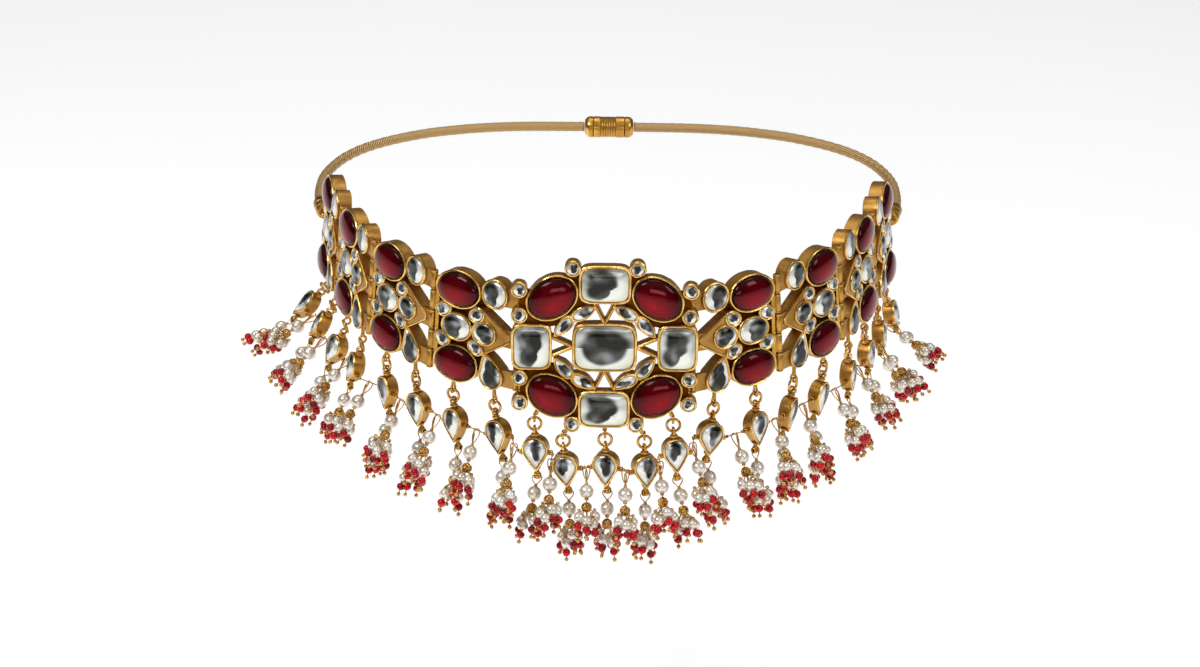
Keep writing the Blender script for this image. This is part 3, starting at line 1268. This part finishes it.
CAP_EYE_R, CAP_EYE_WIRE, CAP_L = 1.1, 0.4, 6


def make_cord_end(name, side):
    plate = plate_frame(side, len(TURNS))
    shape = Shape()
    eye_u = EDGE_U + 2 * END_RING_R
    shape.ring(plate @ move(eye_u, 0, 0) @ turn("X", 90), CAP_EYE_R, CAP_EYE_WIRE)
    r, h = CORD_D / 2 + 0.6, CAP_L
    shape.turned(plate @ move(eye_u + CAP_EYE_R, 0, 0) @ turn("Y", 90), [
        (0.5, 0.0, 0.3), (r - 0.5, 0.02, 0.6), (r - 0.1, 0.25, 0.9), (r, 0.5, 0.8), (r, 1.2, 0.6),
        (r - 0.15, 1.35, 0.2), (r, 1.5, 0.8), (r, 3.6, 0.55), (r - 0.15, 3.75, 0.2), (r, 3.9, 0.8),
        (r, h - 0.25, 0.7), (r - 0.15, h, 0.95), (CORD_D / 2 + 0.12, h - 0.05, 0.9),
        (CORD_D / 2 + 0.05, h - 1.5, 0.0)], 28)
    settle(shape.finish(f"cord_cap_{name}", GOLD), "gold", f"cord_end_{name}")


CLASP_RIBS = 7


def make_clasp():
    """A barrel with ribs round its middle."""
    _, y, z = CORD[-1]
    h, r, hole = CLASP_L, CLASP_R, CORD_D / 2
    ribs = []
    for i in range(CLASP_RIBS):
        c = h / 2 - 1.8 + 0.6 * i
        ribs += [(r - 0.16, c - 0.2, 0.3), (r, c, 0.9)]
    end = [(hole - 0.1, 0.15, 0.1), (hole + 0.2, 0, 0.7), (r - 0.7, 0.1, 0.8), (r - 0.15, 0.7, 0.9),
           (r, 1.3, 0.7), (r, 2.0, 0.6), (r - 0.2, 2.15, 0.2), (r, 2.3, 0.85), (r, h / 2 - 2.2, 0.6)]
    shape = Shape()
    shape.turned(move(-h / 2, y, z) @ turn("Y", 90), both_ends(end, h, ribs), 36)
    settle(shape.finish("barrel_clasp", GOLD), "gold", "clasp")


# The photograph's camera: how far it stands from the front of the necklace, how steeply it looks down,
# its own small turns, and the picture's middle against the point that it looks at
IMAGE_W, IMAGE_H = 1200, 667
CAMERA_FAR = 0.5
CAMERA_DOWN, CAMERA_AROUND, CAMERA_ROLL = 25.4, 0.26, 0.6
FOCAL_PX = 2422
LOOK_PX = (604.7, 342.2)


def make_camera():
    target = Vector((0, -FRONT_Y * MM, 0))
    down, around = math.radians(CAMERA_DOWN), math.radians(CAMERA_AROUND)
    back = Vector((math.cos(down) * math.sin(around), -math.cos(down) * math.cos(around), math.sin(down)))
    right = (-back).cross(Vector((0, 0, 1))).normalized()
    up = right.cross(-back)
    roll = math.radians(CAMERA_ROLL)
    picture_right = right * math.cos(roll) + up * math.sin(roll)
    picture_up = up * math.cos(roll) - right * math.sin(roll)
    data = bpy.data.cameras.new("camera")
    data.sensor_width = 36
    data.lens = FOCAL_PX / IMAGE_W * data.sensor_width
    data.shift_x = (IMAGE_W / 2 - LOOK_PX[0]) / IMAGE_W
    data.shift_y = (LOOK_PX[1] - IMAGE_H / 2) / IMAGE_W
    data.clip_start = 0.01
    camera = linked("camera", data)
    turned = Matrix((picture_right, picture_up, back)).transposed().to_4x4()
    camera.matrix_world = move(*(target + back * CAMERA_FAR)) @ turned
    bpy.context.scene.camera = camera


# Floor and lights, in metres; each light is (name, place, size, power)
FLOOR_Z, FLOOR_HALF = -0.14, 6.0
LIGHTS = (
    ("key_softbox", (-0.5, -0.4, 0.7), (0.4, 0.3), 3.4),
    ("right_softbox", (0.65, -0.45, 0.55), (0.3, 0.4), 1.8),
    ("top_softbox", (0.0, 0.3, 0.95), (0.8, 0.4), 2.6),
    ("front_softbox", (0.1, -1.1, 0.25), (0.6, 0.2), 1.1),
)


def make_floor():
    m, n, shader = material("pale_floor")
    n.feed(shader, {
        "Base Color": n.mix(n.noise(n.object_place(), 6)[0], (0.93, 0.93, 0.93), (0.96, 0.96, 0.96)),
        "Roughness": 0.9,
        "Emission Color": (1, 1, 1, 1),
        "Emission Strength": 0.35})
    mesh = bpy.data.meshes.new("floor")
    corners = rectangle(-FLOOR_HALF, -FLOOR_HALF, FLOOR_HALF, FLOOR_HALF)
    mesh.from_pydata([(x, y, FLOOR_Z) for x, y in corners], [], [(0, 1, 2, 3)])
    mesh.materials.append(m)
    linked("floor", mesh)


def make_lights():
    world = bpy.data.worlds.new("studio")
    world.use_nodes = True
    world.node_tree.nodes.clear()
    n = Nodes(world.node_tree)
    height = n.parts(n.node("ShaderNodeTexCoord").outputs["Generated"])["Z"]
    tone = n.ramp(n.plus(n.times(height, 0.5), 0.5), (
        (0.0, 0.2), (0.5, (0.06, 0.06, 0.065)), (0.66, (0.12, 0.12, 0.13)), (0.85, (0.6, 0.6, 0.62)),
        (1.0, 0.9)))
    sky = n.node("ShaderNodeBackground", {"Color": tone, "Strength": 0.55})
    n.node("ShaderNodeOutputWorld", {"Surface": sky.outputs[0]})
    bpy.context.scene.world = world
    for name, place, size, power in LIGHTS:
        light = bpy.data.lights.new(name, "AREA")
        light.shape = "RECTANGLE"
        light.size, light.size_y = size
        light.energy = power
        lamp = linked(name, light)
        lamp.location = place
        lamp.rotation_mode = "QUATERNION"
        lamp.rotation_quaternion = Vector(place).to_track_quat("Z", "Y")


make_camera()
for name, side in SIDES:
    make_cord(name, side)
    make_cord_end(name, side)
make_clasp()
make_centre()
for name, side in SIDES:
    for k in PLATES:
        make_side_plate(name, side, k)
make_drops()
make_jump_rings()
make_fringe()
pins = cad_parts["hinge_pins"]
for slot in pins.material_slots:
    slot.material = WIRE
make_floor()
make_lights()
bpy.context.scene.view_settings.view_transform = "Standard"
